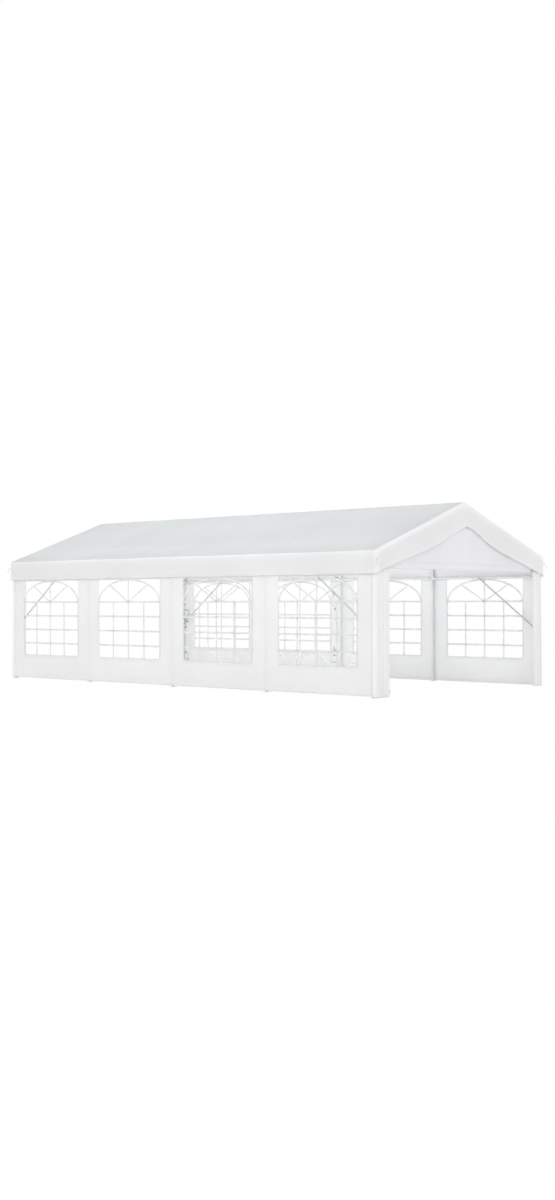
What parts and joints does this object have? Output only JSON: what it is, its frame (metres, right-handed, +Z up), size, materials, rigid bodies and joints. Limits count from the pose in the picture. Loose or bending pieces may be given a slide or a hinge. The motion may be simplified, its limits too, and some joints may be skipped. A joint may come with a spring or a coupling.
{
  "type": "gable party marquee",
  "caption": "Long gable-roofed party marquee on a push-together steel tube frame, with arched-window side walls and curtain doors at both open ends.",
  "frame": {"origin": "on the ground at the middle of the footprint", "axes": "+Y along the ridge towards the rear end, +X to the right seen from the front end, +Z up"},
  "size_m": [4.076, 8.1856, 2.74],
  "materials": {
    "frame_tube": "satin",
    "connector": "satin",
    "roof_sheet": "satin",
    "wall_sheet": "satin",
    "door_sheet": "satin",
    "zip_plastic": "satin",
    "window_film": "gloss",
    "window_strip": "satin",
    "cord": "matte"
  },
  "bodies": {
    "marquee_frame": {"leg_left_1": "frame_tube", "leg_left_2": "frame_tube", "leg_left_3": "frame_tube", "leg_left_4": "frame_tube", "leg_left_5": "frame_tube", "leg_right_1": "frame_tube", "leg_right_2": "frame_tube", "leg_right_3": "frame_tube", "leg_right_4": "frame_tube", "leg_right_5": "frame_tube", "knee_connector_left_1": "connector", "knee_connector_left_2": "connector", "knee_connector_left_3": "connector", "knee_connector_left_4": "connector", "knee_connector_left_5": "connector", "knee_connector_right_1": "connector", "knee_connector_right_2": "connector", "knee_connector_right_3": "connector", "knee_connector_right_4": "connector", "knee_connector_right_5": "connector", "rafter_left_1": "frame_tube", "rafter_left_2": "frame_tube", "rafter_left_3": "frame_tube", "rafter_left_4": "frame_tube", "rafter_left_5": "frame_tube", "rafter_right_1": "frame_tube", "rafter_right_2": "frame_tube", "rafter_right_3": "frame_tube", "rafter_right_4": "frame_tube", "rafter_right_5": "frame_tube", "ridge_connector_1": "connector", "ridge_connector_2": "connector", "ridge_connector_3": "connector", "ridge_connector_4": "connector", "ridge_connector_5": "connector", "ridge_tube_1": "frame_tube", "ridge_tube_2": "frame_tube", "ridge_tube_3": "frame_tube", "ridge_tube_4": "frame_tube", "side_rail_left_1": "frame_tube", "side_rail_left_2": "frame_tube", "side_rail_left_3": "frame_tube", "side_rail_left_4": "frame_tube", "side_rail_right_1": "frame_tube", "side_rail_right_2": "frame_tube", "side_rail_right_3": "frame_tube", "side_rail_right_4": "frame_tube", "brace_front_left": "frame_tube", "brace_front_right": "frame_tube", "brace_rear_left": "frame_tube", "brace_rear_right": "frame_tube", "roof_cover": "roof_sheet", "side_wall_left": "wall_sheet", "side_wall_right": "wall_sheet"},
    "door_front_left": {"door_front_left": "door_sheet"},
    "door_front_right": {"door_front_right": "door_sheet"},
    "zip_front": {"zip_slider_front": "zip_plastic"},
    "door_rear_left": {"door_rear_left": "door_sheet"},
    "door_rear_right": {"door_rear_right": "door_sheet"},
    "zip_rear": {"zip_slider_rear": "zip_plastic"}
  },
  "joints": [
    {"name": "door_front_left_draw", "type": "slide", "parent": "marquee_frame", "child": "door_front_left", "axis": [1, 0, 0], "range_m": [0, 1.717]},
    {"name": "door_front_right_draw", "type": "slide", "parent": "marquee_frame", "child": "door_front_right", "axis": [-1, 0, 0], "range_m": [0, 1.767]},
    {"name": "zip_front_pull", "type": "slide", "parent": "door_front_left", "child": "zip_front", "axis": [0, 0, 1], "range_m": [0, 1.7]},
    {"name": "door_rear_left_draw", "type": "slide", "parent": "marquee_frame", "child": "door_rear_left", "axis": [1, 0, 0], "range_m": [0, 1.717]},
    {"name": "door_rear_right_draw", "type": "slide", "parent": "marquee_frame", "child": "door_rear_right", "axis": [-1, 0, 0], "range_m": [0, 1.767]},
    {"name": "zip_rear_pull", "type": "slide", "parent": "door_rear_left", "child": "zip_rear", "axis": [0, 0, 1], "range_m": [0, 1.7]}
  ]
}
